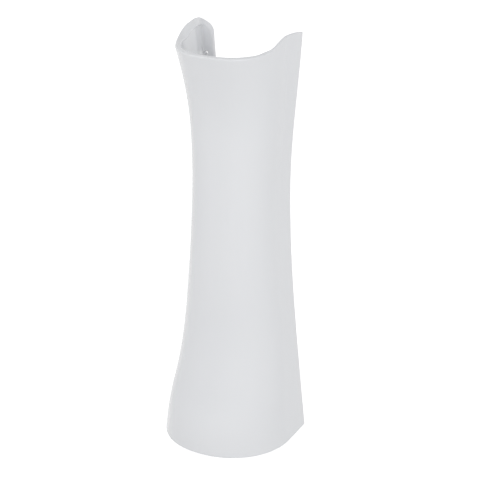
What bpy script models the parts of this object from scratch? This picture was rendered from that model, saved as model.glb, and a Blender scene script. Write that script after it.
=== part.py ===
"""Washbasin pedestal: one hollow glazed ceramic casting.

The shell stands on its foot. It is open at the top, at the bottom and along its back, where
the wall turns in as two narrow returns. Its rim rises at the back into two ears.
Metres, +Z up. The front faces -Y, and the returns lie in the vertical plane at the back.
"""
import math

import bmesh
import bpy
from mathutils import Matrix, Vector

# Heights above the floor, the ears' before their sloping edge is rounded
EAR_HEIGHT = 0.693
FRONT_RIM_FALL = 0.0185
FIXING_HOLE_FALL = 0.061
FRONT_RIM_HEIGHT = EAR_HEIGHT - FRONT_RIM_FALL
FIXING_HOLE_HEIGHT = EAR_HEIGHT - FIXING_HOLE_FALL
WAIST_HEIGHT = 0.440

# Widths across the front curve, and how much wider the sides stand at the back
FOOT_WIDTH = 0.217
WAIST_WIDTH = 0.143
TOP_WIDTH = 0.1735
FOOT_SPREAD = -0.0022
TOP_SPREAD = 0.0067

# Depths from the back plane to the front
FOOT_DEPTH = 0.1745
ANKLE_DEPTH = 0.1555
SHIN_DEPTH = 0.1225
NECK_DEPTH = 0.1115
TOP_DEPTH = 0.1615
ANKLE_HEIGHT = 0.090
SHIN_HEIGHT = 0.250
NECK_HEIGHT = 0.530

# Lean of the walls, as size gained for each metre of height
FOOT_SIDE_LEAN = -0.113
TOP_SIDE_LEAN = 0.045
ANKLE_LEAN = -0.60
SHIN_LEAN = -0.012
TOP_FRONT_LEAN = 0.52

# Plan of the front curve: its share of the depth, and how square its shoulders are
FOOT_ARC_SHARE = 0.616
TOP_ARC_SHARE = 0.738
FOOT_SQUARENESS = 2.10
TOP_SQUARENESS = 2.56

# Wall, returns and corners
WALL = 0.009
RETURN_WIDTH = 0.0275
OUTER_CORNER = 0.003
INNER_CORNER = 0.006
RIM_EDGE_RADIUS = 0.003
FOOT_EDGE_RADIUS = 0.0015

# Ears: distances in front of the back plane, and how the rim falls along and across them
EAR_START = 0.113
EAR_SHOULDER = 0.084
EAR_SHOULDER_RISE = 0.0065
EAR_SHOULDER_LEAN = -0.33
EAR_CORNER = 0.050
EAR_CORNER_FALL = 0.001
EAR_CORNER_LEAN = -0.18
EAR_PEAK = 0.030
EAR_BACK_FALL = 0.004
EAR_SLOPE_START = 0.104
EAR_SLOPE_FULL = 0.070
EAR_INWARD_FALL = 0.0095
RETURN_FALL = 0.0112
RETURN_FALL_POWER = 1.5
RETURN_CORNER_RADIUS = 0.009

FIXING_HOLE_DIAMETER = 0.007

# Facets
ARC_STEPS = 16
SIDE_STEPS = 3
CORNER_STEPS = 3
RETURN_STEPS = 5
ROW_STEPS = 26
ROW_CROWDING = 0.07
EDGE_STEPS = 2
HOLE_SIDES = 24
RIM_SEARCH_STEPS = 12


def smooth_curve(knots, place):
    """Size at a place on the smooth curve through knots of (place, size, lean)."""
    place = min(max(place, knots[0][0]), knots[-1][0])
    for (start, size_a, lean_a), (end, size_b, lean_b) in zip(knots, knots[1:]):
        if place <= end:
            break
    span = end - start
    t = (place - start) / span
    ease = t * t * (3.0 - 2.0 * t)
    bend_a = t * (1.0 - t) ** 2
    bend_b = t * t * (t - 1.0)
    return size_a + (size_b - size_a) * ease + span * (lean_a * bend_a + lean_b * bend_b)


def half_width(height):
    """Half the width across the front curve."""
    knots = (
        (0.0, FOOT_WIDTH / 2.0, FOOT_SIDE_LEAN),
        (WAIST_HEIGHT, WAIST_WIDTH / 2.0, 0.0),
        (EAR_HEIGHT, TOP_WIDTH / 2.0, TOP_SIDE_LEAN),
    )
    return smooth_curve(knots, height)


def depth(height):
    """Distance from the back plane to the front."""
    knots = (
        (0.0, FOOT_DEPTH, 0.0),
        (ANKLE_HEIGHT, ANKLE_DEPTH, ANKLE_LEAN),
        (SHIN_HEIGHT, SHIN_DEPTH, SHIN_LEAN),
        (NECK_HEIGHT, NECK_DEPTH, 0.0),
        (EAR_HEIGHT, TOP_DEPTH, TOP_FRONT_LEAN),
    )
    return smooth_curve(knots, height)


def between(low, high, height):
    """A value that changes evenly from the floor to the top of the ears."""
    return low + (high - low) * height / EAR_HEIGHT


def back_half_width(height):
    """Half the width across the back corners."""
    return half_width(height) + between(FOOT_SPREAD, TOP_SPREAD, height)


def lip_x(height):
    """Distance from the centre to the edge of the sheet along a return's lip."""
    return back_half_width(height) - RETURN_WIDTH + RIM_EDGE_RADIUS


def back_plane():
    """Y of the back plane, so that the origin is midway between back and front."""
    samples = [depth(EAR_HEIGHT * step / 100) for step in range(101)]
    return max(samples) / 2.0


def plan_places():
    """Places along half the plan, as (stretch, share), from the front centre to the lip."""
    places = [("arc", step / ARC_STEPS) for step in range(ARC_STEPS)]
    places += [("side", step / SIDE_STEPS) for step in range(SIDE_STEPS)]
    places += [("corner", step / CORNER_STEPS) for step in range(CORNER_STEPS)]
    places += [("return", step / RETURN_STEPS) for step in range(RETURN_STEPS + 1)]
    return places


def plan_point(place, height, inset, corner):
    """Half-plan point (x, distance in front of the back plane) on the wall inset by so much."""
    stretch, share = place
    arc_depth = between(FOOT_ARC_SHARE, TOP_ARC_SHARE, height) * depth(height)
    arc_end = depth(height) - arc_depth
    side_end = Vector((half_width(height) - inset, arc_end))
    angle_corner = Vector((back_half_width(height) - inset, inset))
    lip = Vector((lip_x(height), inset))
    if stretch == "arc":
        power = between(FOOT_SQUARENESS, TOP_SQUARENESS, height)
        turn = share * math.pi / 2.0
        reach = (math.sin(turn) ** power + math.cos(turn) ** power) ** (-1.0 / power)
        x = side_end.x * reach * math.sin(turn)
        forward = arc_end + (arc_depth - inset) * reach * math.cos(turn)
        return Vector((x, forward))
    corner_start = angle_corner + (side_end - angle_corner).normalized() * corner
    corner_end = angle_corner + (lip - angle_corner).normalized() * corner
    if stretch == "side":
        return side_end.lerp(corner_start, share)
    if stretch == "corner":
        before = corner_start.lerp(angle_corner, share)
        after = angle_corner.lerp(corner_end, share)
        return before.lerp(after, share)
    return corner_end.lerp(lip, math.sin(share * math.pi / 2.0))


def return_fall(x, height):
    """How far the rim falls along a return, and round its upper corner into the lip."""
    inward = max(0.0, back_half_width(height) - x)
    slope_drop = RETURN_FALL * (inward / RETURN_WIDTH) ** RETURN_FALL_POWER
    from_lip = x - lip_x(height)
    radius = RETURN_CORNER_RADIUS - RIM_EDGE_RADIUS
    short = min(max(radius - from_lip, 0.0), radius)
    corner_drop = radius - math.sqrt(radius * radius - short * short)
    return slope_drop + corner_drop


def rim_height(stretch, point, height):
    """Height of the sheet's top edge over a plan point, one edge radius below the rim."""
    x, forward = point
    ear_knots = (
        (0.0, EAR_HEIGHT - EAR_BACK_FALL, 2.0 * EAR_BACK_FALL / EAR_PEAK),
        (EAR_PEAK, EAR_HEIGHT, 0.0),
        (EAR_CORNER, EAR_HEIGHT - EAR_CORNER_FALL, EAR_CORNER_LEAN),
        (EAR_SHOULDER, FRONT_RIM_HEIGHT + EAR_SHOULDER_RISE, EAR_SHOULDER_LEAN),
        (EAR_START, FRONT_RIM_HEIGHT, 0.0),
    )
    top = smooth_curve(ear_knots, forward) - RIM_EDGE_RADIUS
    if stretch in ("corner", "return"):
        top -= return_fall(x, height)
    return top


def column_top(place):
    """Plan point and height at which a column of the outer face ends."""
    top = FRONT_RIM_HEIGHT
    for _ in range(RIM_SEARCH_STEPS):
        point = plan_point(place, top, 0.0, OUTER_CORNER)
        top = rim_height(place[0], point, top)
    return point, top


def inward_fall(forward):
    """How much lower the rim stands on the inner face: level in front, sloping on the ears."""
    knots = (
        (EAR_SLOPE_FULL, EAR_INWARD_FALL, 0.0),
        (EAR_SLOPE_START, 0.0, 0.0),
    )
    return smooth_curve(knots, forward)


def sheet(inset, corner, back_y):
    """Columns of points from lip to lip over one face of the wall, each from foot to rim."""
    half = []
    for place in plan_places():
        point, top = column_top(place)
        top -= inward_fall(point.y) * inset / WALL
        column = []
        for row in range(ROW_STEPS + 1):
            share = row / ROW_STEPS
            share -= ROW_CROWDING * math.sin(2.0 * math.pi * share)
            height = FOOT_EDGE_RADIUS + (top - FOOT_EDGE_RADIUS) * share
            x, forward = plan_point(place, height, inset, corner)
            column.append(Vector((x, back_y - forward, height)))
        half.append(column)
    mirrored = [[Vector((-p.x, p.y, p.z)) for p in column] for column in reversed(half[1:])]
    return mirrored + half


def edge_path(columns, rows):
    """Grid places (column, row) round the sheet's edge: foot, one lip, rim, other lip."""
    foot = [(column, 0) for column in range(columns)]
    right = [(columns - 1, row) for row in range(1, rows)]
    rim = [(column, rows - 1) for column in range(columns - 2, -1, -1)]
    left = [(0, row) for row in range(rows - 2, 0, -1)]
    return foot + right + rim + left


def edge_profile(outer_point, inner_point, along, radius):
    """Points over the wall's edge from the outer face to the inner one, both corners rounded."""
    across = (inner_point - outer_point).normalized()
    outward = across.cross(along).normalized()
    turns = [math.pi / 2.0 * (step + 1) / EDGE_STEPS for step in range(EDGE_STEPS)]
    shifts = [(radius * (1.0 - math.cos(turn)), radius * math.sin(turn)) for turn in turns]
    first = [outer_point + across * inside + outward * out for inside, out in shifts]
    last = [inner_point - across * inside + outward * out for inside, out in reversed(shifts)]
    return first + last


def add_faces(mesh, grid, flip):
    """Quads between neighbouring lists of vertices."""
    for near, far in zip(grid, grid[1:]):
        for low, high in zip(range(len(near) - 1), range(1, len(near))):
            corners = [near[low], far[low], far[high], near[high]]
            if flip:
                corners.reverse()
            mesh.faces.new(corners)


def shell_mesh():
    """The whole wall as one closed mesh."""
    back_y = back_plane()
    outer = sheet(0.0, OUTER_CORNER, back_y)
    inner = sheet(WALL, INNER_CORNER, back_y)
    mesh = bmesh.new()
    outer_verts = [[mesh.verts.new(point) for point in column] for column in outer]
    inner_verts = [[mesh.verts.new(point) for point in column] for column in inner]
    add_faces(mesh, outer_verts, flip=False)
    add_faces(mesh, inner_verts, flip=True)

    path = edge_path(len(outer), ROW_STEPS + 1)
    middle = [(outer[c][r] + inner[c][r]) / 2.0 for c, r in path]
    strips = []
    for index, (column, row) in enumerate(path):
        along = middle[(index + 1) % len(path)] - middle[index - 1]
        radius = FOOT_EDGE_RADIUS if row == 0 else RIM_EDGE_RADIUS
        points = edge_profile(outer[column][row], inner[column][row], along, radius)
        verts = [mesh.verts.new(point) for point in points]
        strips.append([outer_verts[column][row]] + verts + [inner_verts[column][row]])
    strips.append(strips[0])
    add_faces(mesh, strips, flip=True)
    bmesh.ops.recalc_face_normals(mesh, faces=mesh.faces)
    return mesh


def glaze_material():
    """White glazed ceramic."""
    material = bpy.data.materials.new("white_glaze")
    material.use_nodes = True
    shader = material.node_tree.nodes["Principled BSDF"]
    shader.inputs["Base Color"].default_value = (0.80, 0.81, 0.83, 1.0)
    shader.inputs["Roughness"].default_value = 0.15
    shader.inputs["Metallic"].default_value = 0.0
    return material


def new_object(name, mesh):
    """Scene object that holds a finished bmesh."""
    data = bpy.data.meshes.new(name)
    mesh.to_mesh(data)
    mesh.free()
    thing = bpy.data.objects.new(name, data)
    bpy.context.collection.objects.link(thing)
    return thing


def hole_cutter(name, side):
    """Cylinder through the middle of one return, left or right by the sign of side."""
    x = side * (back_half_width(FIXING_HOLE_HEIGHT) - RETURN_WIDTH / 2.0)
    place = Matrix.Translation((x, back_plane() - WALL / 2.0, FIXING_HOLE_HEIGHT))
    turn = Matrix.Rotation(math.pi / 2.0, 4, "X")
    mesh = bmesh.new()
    bmesh.ops.create_cone(
        mesh,
        cap_ends=True,
        segments=HOLE_SIDES,
        radius1=FIXING_HOLE_DIAMETER / 2.0,
        radius2=FIXING_HOLE_DIAMETER / 2.0,
        depth=WALL * 3.0,
        matrix=place @ turn,
    )
    cutter = new_object(name, mesh)
    cutter.hide_render = True
    cutter.display_type = "WIRE"
    return cutter


def pedestal():
    """The casting, with its two fixing holes."""
    body = new_object("pedestal", shell_mesh())
    body.data.materials.append(glaze_material())
    body.data.shade_smooth()
    body.data.set_sharp_from_angle(angle=math.radians(35.0))
    for name, side in (("left_hole_cutter", -1.0), ("right_hole_cutter", 1.0)):
        cut = body.modifiers.new(name, "BOOLEAN")
        cut.operation = "DIFFERENCE"
        cut.solver = "EXACT"
        cut.object = hole_cutter(name, side)
    return body


def main():
    for thing in list(bpy.data.objects):
        bpy.data.objects.remove(thing)
    pedestal()


main()
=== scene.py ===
"""Washbasin pedestal: the fine surface, the glaze, and a plain white studio.

The casting's form is worked out with the same sizes and curves as its solid, in finer steps.
Metres, +Z up. The front faces -Y, and the returns lie in the vertical plane at the back.
"""
import math

import bmesh
import bpy
from mathutils import Matrix, Vector, noise


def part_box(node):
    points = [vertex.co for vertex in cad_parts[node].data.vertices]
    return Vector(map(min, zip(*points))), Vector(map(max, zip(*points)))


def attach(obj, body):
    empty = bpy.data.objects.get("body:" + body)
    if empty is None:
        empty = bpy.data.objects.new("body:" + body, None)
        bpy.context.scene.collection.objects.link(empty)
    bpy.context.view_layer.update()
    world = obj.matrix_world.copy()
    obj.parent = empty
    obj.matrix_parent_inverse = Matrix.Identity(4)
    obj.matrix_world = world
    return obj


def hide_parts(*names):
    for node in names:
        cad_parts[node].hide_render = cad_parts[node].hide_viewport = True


# Heights above the floor, the ears' before their sloping edge is rounded
EAR_HEIGHT = 0.693
FRONT_RIM_FALL = 0.0185
FIXING_HOLE_FALL = 0.061
FRONT_RIM_HEIGHT = EAR_HEIGHT - FRONT_RIM_FALL
FIXING_HOLE_HEIGHT = EAR_HEIGHT - FIXING_HOLE_FALL
WAIST_HEIGHT = 0.440

# Widths across the front curve, and how much wider the sides stand at the back
FOOT_WIDTH = 0.217
WAIST_WIDTH = 0.143
TOP_WIDTH = 0.1735
FOOT_SPREAD = -0.0022
TOP_SPREAD = 0.0067

# Depths from the back plane to the front
FOOT_DEPTH = 0.1745
ANKLE_DEPTH = 0.1555
SHIN_DEPTH = 0.1225
NECK_DEPTH = 0.1115
TOP_DEPTH = 0.1615
ANKLE_HEIGHT = 0.090
SHIN_HEIGHT = 0.250
NECK_HEIGHT = 0.530

# Lean of the walls, as size gained for each metre of height
FOOT_SIDE_LEAN = -0.113
TOP_SIDE_LEAN = 0.045
ANKLE_LEAN = -0.60
SHIN_LEAN = -0.012
TOP_FRONT_LEAN = 0.52

# Plan of the front curve: its share of the depth, and how square its shoulders are
FOOT_ARC_SHARE = 0.616
TOP_ARC_SHARE = 0.738
FOOT_SQUARENESS = 2.10
TOP_SQUARENESS = 2.56

# Wall, returns and corners
WALL = 0.009
RETURN_WIDTH = 0.0275
OUTER_CORNER = 0.003
INNER_CORNER = 0.006
RIM_EDGE_RADIUS = 0.003
FOOT_EDGE_RADIUS = 0.0015

# Ears: distances in front of the back plane, and how the rim falls along and across them
EAR_START = 0.113
EAR_SHOULDER = 0.084
EAR_SHOULDER_RISE = 0.0065
EAR_SHOULDER_LEAN = -0.33
EAR_CORNER = 0.050
EAR_CORNER_FALL = 0.001
EAR_CORNER_LEAN = -0.18
EAR_PEAK = 0.030
EAR_BACK_FALL = 0.004
EAR_SLOPE_START = 0.104
EAR_SLOPE_FULL = 0.070
EAR_INWARD_FALL = 0.0095
RETURN_FALL = 0.0112
RETURN_FALL_POWER = 1.5
RETURN_CORNER_RADIUS = 0.009

# Fixing holes, with a softened mouth at each face
FIXING_HOLE_DIAMETER = 0.007
HOLE_MOUTH_RADIUS = 0.0005

# How finely the surface is made
ARC_STEPS = 44
SIDE_STEPS = 9
CORNER_STEPS = 8
RETURN_STEPS = 10
ROW_STEPS = 170
ROW_CROWDING = 0.10
EDGE_STEPS = 6
HOLE_SIDES = 64
MOUTH_STEPS = 5
RIM_SEARCH_STEPS = 20

# Unevenness of a cast and fired wall
WARP = 0.00025
WARP_LENGTH = 0.11
RIPPLE = 0.00006
RIPPLE_LENGTH = 0.028
WARP_SEED = 7
FLAT_FOOT_HEIGHT = 0.020

# The glaze's mark fades to nothing over this depth of the inner face, and by this power round
# the foot's edge
INSIDE_GLAZE_DEPTH = 0.240
FOOT_GLAZE_POWER = 3

# Camera: where it stands round a point in front of the back plane, and how it is turned.
# Angles are in degrees, the lens and the sensor in millimetres.
CAMERA_AZIMUTH = 28.0
CAMERA_DISTANCE = 2.69
CAMERA_HEIGHT = 1.475
CAMERA_CENTRE_DEPTH = 0.080
CAMERA_PITCH = 22.758
CAMERA_TURN = -0.46
CAMERA_LENS = 135.5
CAMERA_SENSOR = 36.0
PHOTO_PIXELS = 480
HALF_PIXEL = 0.5 / PHOTO_PIXELS

# Angle between two faces past which their edge is shaded sharp, in degrees
SHARP_ANGLE = 40.0

# Colours of the glaze and of the bare ceramic, each by the noise that mottles it
GLAZE_TONES = (
    (0.30, (0.887, 0.896, 0.914)),
    (0.55, (0.894, 0.902, 0.918)),
    (0.75, (0.900, 0.907, 0.921)),
)
BARE_TONES = (
    (0.35, (0.845, 0.840, 0.825)),
    (0.65, (0.885, 0.880, 0.865)),
)

# How the glaze and the bare ceramic shine
GLAZE_IOR = 1.52
GLAZE_SPECULAR = 0.2
GLAZE_ROUGHNESS = 0.22
BARE_ROUGHNESS = 0.62
COAT_ROUGHNESS = 0.20

# Noises in the casting's own space, as (features a metre, detail)
POOLING_NOISE = (7.0, 3.0)
GRAIN_NOISE = (260.0, 4.0)
RIPPLE_NOISE = (60.0, 2.0)
EDGE_NOISE = (34.0, 4.0)

# How ragged the glaze's edge is, and the marks between which it goes from bare to covered
EDGE_RAGGEDNESS = 0.5
BARE_MARK = 0.55
COVERED_MARK = 0.80

# Relief of the glaze's ripple and of the bare grain
RIPPLE_STRENGTH = 0.25
RIPPLE_DEPTH = 0.0002
GRAIN_STRENGTH = 0.5
GRAIN_DEPTH = 0.0003

# Studio floor: its glow is seen by the camera and in reflections, and lights nothing
FLOOR_RADIUS = 9.0
FLOOR_SIDES = 96
FLOOR_COLOUR = (0.70, 0.70, 0.70, 1.0)
FLOOR_ROUGHNESS = 0.9
FLOOR_GLOW = 0.66
FLOOR_GLOW_REFLECTED = 0.46

# Surroundings that light the casting, dimmer overhead, and the white that the camera sees
SKY_COLOUR = (0.985, 0.99, 1.0, 1.0)
SKY_AT_HORIZON = 0.95
SKY_OVERHEAD = 0.48
WHITE = (1.0, 1.0, 1.0, 1.0)
BACKDROP_STRENGTH = 1.0

# Soft boxes, as (name, place, width, height, watts), and the point that they face
SOFT_BOXES = (
    ("front_box", (1.1, -2.6, 1.0), 4.4, 2.2, 22.5),
    ("side_box", (2.6, 0.5, 1.0), 2.4, 2.2, 2.8),
)
BOX_TARGET = (0.0, 0.0, 0.4)


def smooth_curve(knots, place):
    """Size at a place on the smooth curve through knots of (place, size, lean)."""
    place = min(max(place, knots[0][0]), knots[-1][0])
    for (start, size_a, lean_a), (end, size_b, lean_b) in zip(knots, knots[1:]):
        if place <= end:
            break
    span = end - start
    t = (place - start) / span
    ease = t * t * (3.0 - 2.0 * t)
    bend_a = t * (1.0 - t) ** 2
    bend_b = t * t * (t - 1.0)
    return size_a + (size_b - size_a) * ease + span * (lean_a * bend_a + lean_b * bend_b)


def half_width(height):
    """Half the width across the front curve."""
    knots = (
        (0.0, FOOT_WIDTH / 2.0, FOOT_SIDE_LEAN),
        (WAIST_HEIGHT, WAIST_WIDTH / 2.0, 0.0),
        (EAR_HEIGHT, TOP_WIDTH / 2.0, TOP_SIDE_LEAN),
    )
    return smooth_curve(knots, height)


def depth(height):
    """Distance from the back plane to the front."""
    knots = (
        (0.0, FOOT_DEPTH, 0.0),
        (ANKLE_HEIGHT, ANKLE_DEPTH, ANKLE_LEAN),
        (SHIN_HEIGHT, SHIN_DEPTH, SHIN_LEAN),
        (NECK_HEIGHT, NECK_DEPTH, 0.0),
        (EAR_HEIGHT, TOP_DEPTH, TOP_FRONT_LEAN),
    )
    return smooth_curve(knots, height)


def between(low, high, height):
    """A value that changes evenly from the floor to the top of the ears."""
    return low + (high - low) * height / EAR_HEIGHT


def back_half_width(height):
    """Half the width across the back corners."""
    return half_width(height) + between(FOOT_SPREAD, TOP_SPREAD, height)


def lip_x(height):
    """Distance from the centre to the edge of the sheet along a return's lip."""
    return back_half_width(height) - RETURN_WIDTH + RIM_EDGE_RADIUS


def plan_places():
    """Places along half the plan, as (stretch, share), from the front centre to the lip."""
    places = [("arc", step / ARC_STEPS) for step in range(ARC_STEPS)]
    places += [("side", step / SIDE_STEPS) for step in range(SIDE_STEPS)]
    places += [("corner", step / CORNER_STEPS) for step in range(CORNER_STEPS)]
    places += [("return", step / RETURN_STEPS) for step in range(RETURN_STEPS + 1)]
    return places


def plan_point(place, height, inset, corner):
    """Half-plan point (x, distance in front of the back plane) on the wall inset by so much."""
    stretch, share = place
    arc_depth = between(FOOT_ARC_SHARE, TOP_ARC_SHARE, height) * depth(height)
    arc_end = depth(height) - arc_depth
    side_end = Vector((half_width(height) - inset, arc_end))
    angle_corner = Vector((back_half_width(height) - inset, inset))
    lip = Vector((lip_x(height), inset))
    if stretch == "arc":
        power = between(FOOT_SQUARENESS, TOP_SQUARENESS, height)
        turn = share * math.pi / 2.0
        reach = (math.sin(turn) ** power + math.cos(turn) ** power) ** (-1.0 / power)
        x = side_end.x * reach * math.sin(turn)
        forward = arc_end + (arc_depth - inset) * reach * math.cos(turn)
        return Vector((x, forward))
    corner_start = angle_corner + (side_end - angle_corner).normalized() * corner
    corner_end = angle_corner + (lip - angle_corner).normalized() * corner
    if stretch == "side":
        return side_end.lerp(corner_start, share)
    if stretch == "corner":
        before = corner_start.lerp(angle_corner, share)
        after = angle_corner.lerp(corner_end, share)
        return before.lerp(after, share)
    return corner_end.lerp(lip, math.sin(share * math.pi / 2.0))


def return_fall(x, height):
    """How far the rim falls along a return, and round its upper corner into the lip."""
    inward = max(0.0, back_half_width(height) - x)
    slope_drop = RETURN_FALL * (inward / RETURN_WIDTH) ** RETURN_FALL_POWER
    from_lip = x - lip_x(height)
    radius = RETURN_CORNER_RADIUS - RIM_EDGE_RADIUS
    short = min(max(radius - from_lip, 0.0), radius)
    corner_drop = radius - math.sqrt(radius * radius - short * short)
    return slope_drop + corner_drop


def rim_height(stretch, point, height):
    """Height of the sheet's top edge over a plan point, one edge radius below the rim."""
    x, forward = point
    ear_knots = (
        (0.0, EAR_HEIGHT - EAR_BACK_FALL, 2.0 * EAR_BACK_FALL / EAR_PEAK),
        (EAR_PEAK, EAR_HEIGHT, 0.0),
        (EAR_CORNER, EAR_HEIGHT - EAR_CORNER_FALL, EAR_CORNER_LEAN),
        (EAR_SHOULDER, FRONT_RIM_HEIGHT + EAR_SHOULDER_RISE, EAR_SHOULDER_LEAN),
        (EAR_START, FRONT_RIM_HEIGHT, 0.0),
    )
    top = smooth_curve(ear_knots, forward) - RIM_EDGE_RADIUS
    if stretch in ("corner", "return"):
        top -= return_fall(x, height)
    return top


def column_top(place):
    """Plan point and height at which a column of the outer face ends."""
    top = FRONT_RIM_HEIGHT
    for _ in range(RIM_SEARCH_STEPS):
        point = plan_point(place, top, 0.0, OUTER_CORNER)
        top = rim_height(place[0], point, top)
    return point, top


def inward_fall(forward):
    """How much lower the rim stands on the inner face: level in front, sloping on the ears."""
    knots = (
        (EAR_SLOPE_FULL, EAR_INWARD_FALL, 0.0),
        (EAR_SLOPE_START, 0.0, 0.0),
    )
    return smooth_curve(knots, forward)


def sheet(inset, corner, back_y):
    """Columns of points from lip to lip over one face of the wall, each from foot to rim."""
    half = []
    for place in plan_places():
        point, top = column_top(place)
        top -= inward_fall(point.y) * inset / WALL
        column = []
        for row in range(ROW_STEPS + 1):
            share = row / ROW_STEPS
            share -= ROW_CROWDING * math.sin(2.0 * math.pi * share)
            height = FOOT_EDGE_RADIUS + (top - FOOT_EDGE_RADIUS) * share
            x, forward = plan_point(place, height, inset, corner)
            column.append(Vector((x, back_y - forward, height)))
        half.append(column)
    mirrored = [[Vector((-p.x, p.y, p.z)) for p in column] for column in reversed(half[1:])]
    return mirrored + half


def edge_path(columns, rows):
    """Grid places (column, row) round the sheet's edge: foot, one lip, rim, other lip."""
    foot = [(column, 0) for column in range(columns)]
    right = [(columns - 1, row) for row in range(1, rows)]
    rim = [(column, rows - 1) for column in range(columns - 2, -1, -1)]
    left = [(0, row) for row in range(rows - 2, 0, -1)]
    return foot + right + rim + left


def edge_profile(outer_point, inner_point, along, radius):
    """Points over the wall's edge from the outer face to the inner one, both corners rounded."""
    across = (inner_point - outer_point).normalized()
    outward = across.cross(along).normalized()
    turns = [math.pi / 2.0 * (step + 1) / EDGE_STEPS for step in range(EDGE_STEPS)]
    shifts = [(radius * (1.0 - math.cos(turn)), radius * math.sin(turn)) for turn in turns]
    first = [outer_point + across * inside + outward * out for inside, out in shifts]
    last = [inner_point - across * inside + outward * out for inside, out in reversed(shifts)]
    return first + last


def add_faces(mesh, grid, flip):
    """Quads between neighbouring lists of vertices."""
    for near, far in zip(grid, grid[1:]):
        for low, high in zip(range(len(near) - 1), range(1, len(near))):
            corners = [near[low], far[low], far[high], near[high]]
            if flip:
                corners.reverse()
            mesh.faces.new(corners)


def shell_mesh(back_y):
    """The whole wall as one closed mesh, with a mark on every point of how well it is glazed."""
    outer = sheet(0.0, OUTER_CORNER, back_y)
    inner = sheet(WALL, INNER_CORNER, back_y)
    mesh = bmesh.new()
    glazed = mesh.verts.layers.float.new("glazed")
    outer_verts = [[mesh.verts.new(point) for point in column] for column in outer]
    inner_verts = [[mesh.verts.new(point) for point in column] for column in inner]
    add_faces(mesh, outer_verts, flip=False)
    add_faces(mesh, inner_verts, flip=True)
    for vert in mesh.verts:
        vert[glazed] = 1.0
    for column in inner_verts:
        rim = column[-1].co.z
        for vert in column:
            below = (rim - vert.co.z) / INSIDE_GLAZE_DEPTH
            vert[glazed] = 1.0 - min(below, 1.0)

    path = edge_path(len(outer), ROW_STEPS + 1)
    middle = [(outer[c][r] + inner[c][r]) / 2.0 for c, r in path]
    strips = []
    for index, (column, row) in enumerate(path):
        along = middle[(index + 1) % len(path)] - middle[index - 1]
        radius = FOOT_EDGE_RADIUS if row == 0 else RIM_EDGE_RADIUS
        points = edge_profile(outer[column][row], inner[column][row], along, radius)
        verts = [mesh.verts.new(point) for point in points]
        for step, vert in enumerate(verts, start=1):
            round_share = min(step, len(verts) + 1 - step) / EDGE_STEPS
            vert[glazed] = 1.0 - round_share ** FOOT_GLAZE_POWER if row == 0 else 1.0
        strips.append([outer_verts[column][row]] + verts + [inner_verts[column][row]])
    strips.append(strips[0])
    add_faces(mesh, strips, flip=True)
    bmesh.ops.recalc_face_normals(mesh, faces=mesh.faces)
    return mesh


def warp(mesh):
    """Moves the wall a little, as firing leaves it: not at the foot, and never backwards."""
    noise.seed_set(WARP_SEED)
    for vert in mesh.verts:
        settle = min(vert.co.z / FLAT_FOOT_HEIGHT, 1.0)
        slow = noise.noise_vector(vert.co / WARP_LENGTH)
        quick = noise.noise_vector(vert.co / RIPPLE_LENGTH)
        shift = (slow * WARP + quick * RIPPLE) * settle
        vert.co.x += shift.x
        vert.co.y -= abs(shift.y)


def new_object(name, mesh):
    """Scene object that holds a finished bmesh."""
    data = bpy.data.meshes.new(name)
    mesh.to_mesh(data)
    mesh.free()
    thing = bpy.data.objects.new(name, data)
    bpy.context.collection.objects.link(thing)
    return thing


def hole_cutter(side, back_y):
    """Turned cutter through one return, flared at both faces of the wall."""
    radius = FIXING_HOLE_DIAMETER / 2.0
    flare = [math.pi / 2.0 * step / MOUTH_STEPS for step in range(MOUTH_STEPS + 1)]
    profile = [(radius + HOLE_MOUTH_RADIUS, WALL)]
    for turn in flare:
        out = HOLE_MOUTH_RADIUS * (1.0 - math.sin(turn))
        along = WALL / 2.0 - HOLE_MOUTH_RADIUS * (1.0 - math.cos(turn))
        profile.append((radius + out, along))
    profile += [(r, -along) for r, along in reversed(profile)]
    x = side * (back_half_width(FIXING_HOLE_HEIGHT) - RETURN_WIDTH / 2.0)
    mesh = bmesh.new()
    rings = []
    for r, along in profile:
        ring = []
        for step in range(HOLE_SIDES):
            turn = 2.0 * math.pi * step / HOLE_SIDES
            place = (
                x + r * math.cos(turn),
                back_y - WALL / 2.0 + along,
                FIXING_HOLE_HEIGHT + r * math.sin(turn),
            )
            ring.append(mesh.verts.new(place))
        rings.append(ring)
    for near, far in zip(rings, rings[1:]):
        for step in range(HOLE_SIDES):
            after = (step + 1) % HOLE_SIDES
            mesh.faces.new([near[step], near[after], far[after], far[step]])
    mesh.faces.new(rings[0])
    mesh.faces.new(reversed(rings[-1]))
    bmesh.ops.recalc_face_normals(mesh, faces=mesh.faces)
    return new_object("hole_cutter", mesh)


def cut_holes(body, back_y):
    """Cuts both fixing holes for good and removes the cutters."""
    for side in (-1.0, 1.0):
        cutter = hole_cutter(side, back_y)
        cut = body.modifiers.new("hole", "BOOLEAN")
        cut.operation = "DIFFERENCE"
        cut.solver = "EXACT"
        cut.object = cutter
        bpy.context.view_layer.update()
        evaluated = body.evaluated_get(bpy.context.evaluated_depsgraph_get())
        data = bpy.data.meshes.new_from_object(evaluated)
        body.modifiers.clear()
        body.data = data
        bpy.data.objects.remove(cutter)


def add_node(tree, kind, **inputs):
    """Shader node with plain values on its sockets."""
    node = tree.nodes.new(kind)
    for name, value in inputs.items():
        node.inputs[name.replace("_", " ")].default_value = value
    return node


def noise_node(tree, where, kind):
    """Noise that runs through the casting's own space, by its kind of (scale, detail)."""
    scale, detail = kind
    node = add_node(tree, "ShaderNodeTexNoise", Scale=scale, Detail=detail)
    tree.links.new(where.outputs["Object"], node.inputs["Vector"])
    return node


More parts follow.
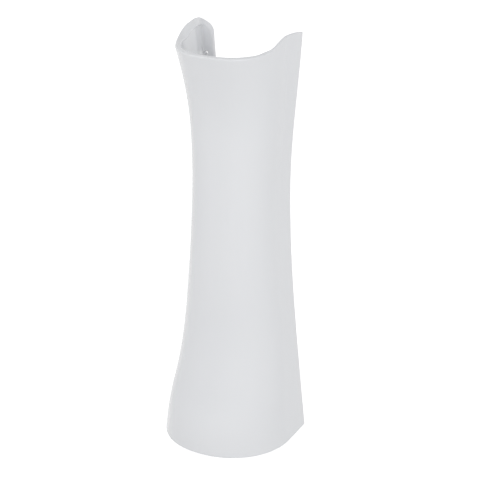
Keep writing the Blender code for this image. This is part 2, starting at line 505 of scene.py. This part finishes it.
def ramp_node(tree, source, stops):
    """Colour ramp through (place, colour) stops, driven by an output."""
    node = tree.nodes.new("ShaderNodeValToRGB")
    ramp = node.color_ramp
    while len(ramp.elements) < len(stops):
        ramp.elements.new(0.5)
    for element, (place, colour) in zip(ramp.elements, stops):
        element.position = place
        element.color = (*colour, 1.0)
    tree.links.new(source, node.inputs["Fac"])
    return node


def map_node(tree, source, low, high):
    """Spreads an output of 0 to 1 over low to high."""
    node = add_node(tree, "ShaderNodeMapRange", To_Min=low, To_Max=high)
    tree.links.new(source, node.inputs["Value"])
    return node


def multiply_node(tree, source, factor):
    """An output times a factor, plus what is linked to the last socket."""
    node = tree.nodes.new("ShaderNodeMath")
    node.operation = "MULTIPLY_ADD"
    node.inputs[1].default_value = factor
    node.inputs[2].default_value = 0.0
    tree.links.new(source, node.inputs[0])
    return node


def glaze_material():
    """White glaze that pools and ripples slightly, over bare off-white ceramic where it ends."""
    material = bpy.data.materials.new("white_glaze")
    material.use_nodes = True
    tree = material.node_tree
    link = tree.links.new
    shader = tree.nodes["Principled BSDF"]
    shader.inputs["IOR"].default_value = GLAZE_IOR
    shader.inputs["Specular IOR Level"].default_value = GLAZE_SPECULAR
    shader.inputs["Coat Roughness"].default_value = COAT_ROUGHNESS
    where = tree.nodes.new("ShaderNodeTexCoord")

    pooling = noise_node(tree, where, POOLING_NOISE)
    glaze = ramp_node(tree, pooling.outputs["Fac"], GLAZE_TONES)
    grain = noise_node(tree, where, GRAIN_NOISE)
    bare = ramp_node(tree, grain.outputs["Fac"], BARE_TONES)

    mark = tree.nodes.new("ShaderNodeAttribute")
    mark.attribute_name = "glazed"
    edge = noise_node(tree, where, EDGE_NOISE)
    edge_shift = multiply_node(tree, edge.outputs["Fac"], EDGE_RAGGEDNESS)
    link(mark.outputs["Fac"], edge_shift.inputs[2])
    cover = map_node(tree, edge_shift.outputs["Value"], 0.0, 1.0)
    cover.interpolation_type = "SMOOTHSTEP"
    cover.inputs["From Min"].default_value = BARE_MARK
    cover.inputs["From Max"].default_value = COVERED_MARK

    colour = tree.nodes.new("ShaderNodeMix")
    colour.data_type = "RGBA"
    link(cover.outputs["Result"], colour.inputs["Factor"])
    link(bare.outputs["Color"], colour.inputs["A"])
    link(glaze.outputs["Color"], colour.inputs["B"])
    link(colour.outputs["Result"], shader.inputs["Base Color"])

    sheen = map_node(tree, cover.outputs["Result"], BARE_ROUGHNESS, GLAZE_ROUGHNESS)
    link(sheen.outputs["Result"], shader.inputs["Roughness"])
    link(cover.outputs["Result"], shader.inputs["Coat Weight"])

    ripple = noise_node(tree, where, RIPPLE_NOISE)
    ripple_bump = add_node(
        tree, "ShaderNodeBump", Strength=RIPPLE_STRENGTH, Distance=RIPPLE_DEPTH)
    link(ripple.outputs["Fac"], ripple_bump.inputs["Height"])
    grain_strength = map_node(tree, cover.outputs["Result"], GRAIN_STRENGTH, 0.0)
    grain_bump = add_node(tree, "ShaderNodeBump", Distance=GRAIN_DEPTH)
    link(grain_strength.outputs["Result"], grain_bump.inputs["Strength"])
    link(grain.outputs["Fac"], grain_bump.inputs["Height"])
    link(ripple_bump.outputs["Normal"], grain_bump.inputs["Normal"])
    link(grain_bump.outputs["Normal"], shader.inputs["Normal"])
    return material


def pedestal(back_y):
    """The casting, finished, standing for its solid."""
    mesh = shell_mesh(back_y)
    warp(mesh)
    body = new_object("pedestal_casting", mesh)
    cut_holes(body, back_y)
    body.data.materials.clear()
    body.data.materials.append(glaze_material())
    body.data.shade_smooth()
    body.data.set_sharp_from_angle(angle=math.radians(SHARP_ANGLE))
    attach(body, "root")
    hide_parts("pedestal")


def studio_floor():
    """Wide plain white floor that glows a little."""
    mesh = bmesh.new()
    bmesh.ops.create_circle(mesh, cap_ends=True, segments=FLOOR_SIDES, radius=FLOOR_RADIUS)
    floor = new_object("floor", mesh)
    material = bpy.data.materials.new("floor_white")
    material.use_nodes = True
    tree = material.node_tree
    shader = tree.nodes["Principled BSDF"]
    shader.inputs["Base Color"].default_value = FLOOR_COLOUR
    shader.inputs["Roughness"].default_value = FLOOR_ROUGHNESS
    shader.inputs["Specular IOR Level"].default_value = 0.0
    shader.inputs["Emission Color"].default_value = WHITE
    path = tree.nodes.new("ShaderNodeLightPath")
    seen = multiply_node(tree, path.outputs["Is Camera Ray"], FLOOR_GLOW)
    glow = multiply_node(tree, path.outputs["Is Glossy Ray"], FLOOR_GLOW_REFLECTED)
    tree.links.new(seen.outputs["Value"], glow.inputs[2])
    tree.links.new(glow.outputs["Value"], shader.inputs["Emission Strength"])
    floor.data.materials.append(material)


def area_light(name, place, width, height, power):
    """Soft box that faces the casting and isn't seen in reflections."""
    data = bpy.data.lights.new(name, "AREA")
    data.shape = "RECTANGLE"
    data.size = width
    data.size_y = height
    data.energy = power
    light = bpy.data.objects.new(name, data)
    bpy.context.collection.objects.link(light)
    light.location = place
    facing = Vector(BOX_TARGET) - Vector(place)
    light.rotation_euler = facing.to_track_quat("-Z", "Y").to_euler()
    light.visible_glossy = False


def studio_light():
    """White surroundings with a soft box in front and a weaker one on the +X side."""
    world = bpy.data.worlds.new("studio")
    bpy.context.scene.world = world
    world.use_nodes = True
    tree = world.node_tree
    sky = tree.nodes["Background"]
    sky.inputs["Color"].default_value = SKY_COLOUR
    where = tree.nodes.new("ShaderNodeTexCoord")
    split = tree.nodes.new("ShaderNodeSeparateXYZ")
    tree.links.new(where.outputs["Generated"], split.inputs["Vector"])
    height = map_node(tree, split.outputs["Z"], SKY_AT_HORIZON, SKY_OVERHEAD)
    tree.links.new(height.outputs["Result"], sky.inputs["Strength"])
    backdrop = add_node(tree, "ShaderNodeBackground", Color=WHITE, Strength=BACKDROP_STRENGTH)
    path = tree.nodes.new("ShaderNodeLightPath")
    choice = tree.nodes.new("ShaderNodeMixShader")
    tree.links.new(path.outputs["Is Camera Ray"], choice.inputs["Fac"])
    tree.links.new(sky.outputs["Background"], choice.inputs[1])
    tree.links.new(backdrop.outputs["Background"], choice.inputs[2])
    tree.links.new(choice.outputs["Shader"], tree.nodes["World Output"].inputs["Surface"])
    for box in SOFT_BOXES:
        area_light(*box)


def photo_camera(back_y):
    """Camera that sees the casting as the photograph does."""
    azimuth = math.radians(CAMERA_AZIMUTH)
    turn = math.radians(CAMERA_AZIMUTH + CAMERA_TURN)
    pitch = math.radians(CAMERA_PITCH)
    centre_y = back_y - CAMERA_CENTRE_DEPTH
    place = Vector((
        CAMERA_DISTANCE * math.sin(azimuth),
        centre_y - CAMERA_DISTANCE * math.cos(azimuth),
        CAMERA_HEIGHT,
    ))
    level = Vector((-math.sin(turn), math.cos(turn), 0.0))
    forward = level * math.cos(pitch) - Vector((0.0, 0.0, math.sin(pitch)))
    right = Vector((math.cos(turn), math.sin(turn), 0.0))
    data = bpy.data.cameras.new("photo_camera")
    data.sensor_width = CAMERA_SENSOR
    data.lens = CAMERA_LENS
    data.shift_x = -HALF_PIXEL
    data.shift_y = HALF_PIXEL
    camera = bpy.data.objects.new("photo_camera", data)
    bpy.context.collection.objects.link(camera)
    pose = Matrix((right, right.cross(forward), -forward)).transposed().to_4x4()
    pose.translation = place
    camera.matrix_world = pose
    bpy.context.scene.camera = camera


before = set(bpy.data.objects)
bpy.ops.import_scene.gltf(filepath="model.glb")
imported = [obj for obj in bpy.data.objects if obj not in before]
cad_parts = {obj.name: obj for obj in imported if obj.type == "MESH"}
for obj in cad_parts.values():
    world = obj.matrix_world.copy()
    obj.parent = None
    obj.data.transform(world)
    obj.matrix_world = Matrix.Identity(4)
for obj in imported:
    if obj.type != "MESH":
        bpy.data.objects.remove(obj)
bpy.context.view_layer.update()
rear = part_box("pedestal")[1].y

photo_camera(rear)
pedestal(rear)
studio_floor()
studio_light()
bpy.context.scene.view_settings.view_transform = "Standard"
